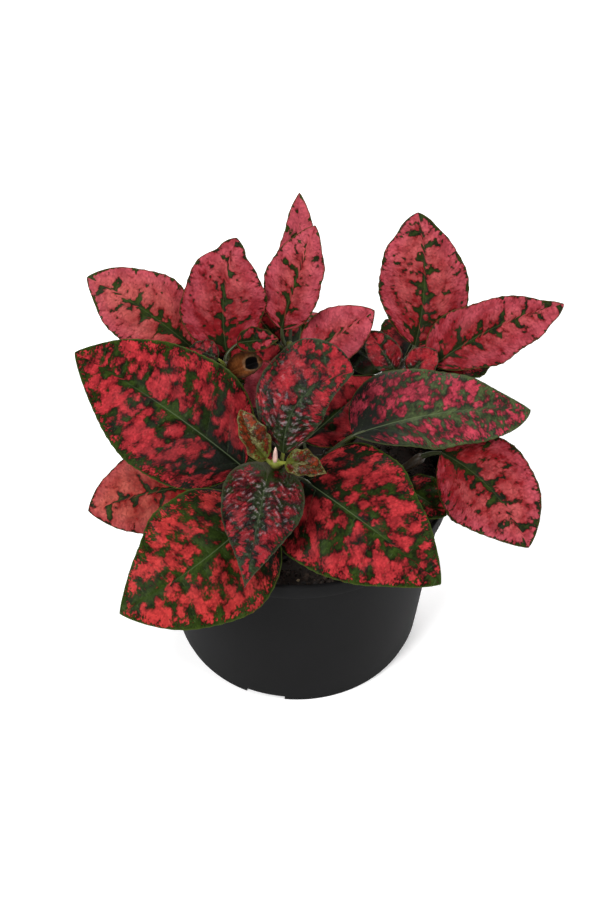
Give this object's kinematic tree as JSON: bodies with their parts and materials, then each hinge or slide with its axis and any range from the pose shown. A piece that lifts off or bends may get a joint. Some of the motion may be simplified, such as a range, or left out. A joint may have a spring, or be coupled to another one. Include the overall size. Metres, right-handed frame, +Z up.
{
  "type": "potted polka dot plant",
  "caption": "Bushy foliage plant with red leaves mottled in green, in a round tapered black nursery pot with a shallow collar and a notched foot.",
  "frame": {"origin": "middle of the pot's underside, on the surface that the pot stands on", "axes": "+Z up along the pot's axis, -Y towards the side that the picture shows, +X to that view's right"},
  "size_m": [0.1893, 0.1619, 0.1723],
  "materials": {
    "pot_plastic": "matte",
    "peat": "matte",
    "stem": "satin",
    "leaf_red": "satin",
    "leaf_pink": "satin",
    "leaf_maroon": "satin",
    "leaf_bronze": "satin"
  },
  "bodies": {
    "root": {"pot": "pot_plastic", "growing_medium": "peat", "stem_front": "stem", "stem_left": "stem", "stem_rear": "stem", "stem_right": "stem", "stem_middle": "stem", "stem_side": "stem", "stem_low": "stem", "leaf_front_right": "leaf_red", "leaf_front_left": "leaf_red", "leaf_left_large": "leaf_red", "leaf_under_left": "leaf_red", "leaf_centre_front": "leaf_maroon", "leaf_centre_back": "leaf_maroon", "leaf_young_left": "leaf_bronze", "leaf_young_right": "leaf_bronze", "leaf_rear_left": "leaf_pink", "leaf_left_upper": "leaf_pink", "leaf_left_tip_right": "leaf_maroon", "leaf_left_tip_left": "leaf_maroon", "leaf_left_curled": "leaf_maroon", "leaf_back_left_upper": "leaf_red", "leaf_back_left": "leaf_red", "leaf_left_lower": "leaf_red", "leaf_rear_middle": "leaf_pink", "leaf_rear_top": "leaf_pink", "leaf_rear_pink": "leaf_pink", "leaf_rear_behind": "leaf_red", "leaf_rear_under": "leaf_red", "leaf_rear_folded": "leaf_red", "leaf_back_middle_upper": "leaf_red", "leaf_back_middle": "leaf_red", "leaf_right_upright": "leaf_pink", "leaf_right_upper": "leaf_pink", "leaf_right_tip_left": "leaf_maroon", "leaf_right_tip_right": "leaf_maroon", "leaf_back_right_upper": "leaf_red", "leaf_back_right": "leaf_red", "leaf_right_lower": "leaf_red", "leaf_right_shaded": "leaf_maroon", "leaf_right_inner": "leaf_red", "leaf_right_large": "leaf_red", "leaf_under_middle": "leaf_red", "leaf_right_low": "leaf_red", "leaf_under_right": "leaf_red", "leaf_left_low": "leaf_pink", "leaf_left_inner": "leaf_red"}
  },
  "joints": []
}
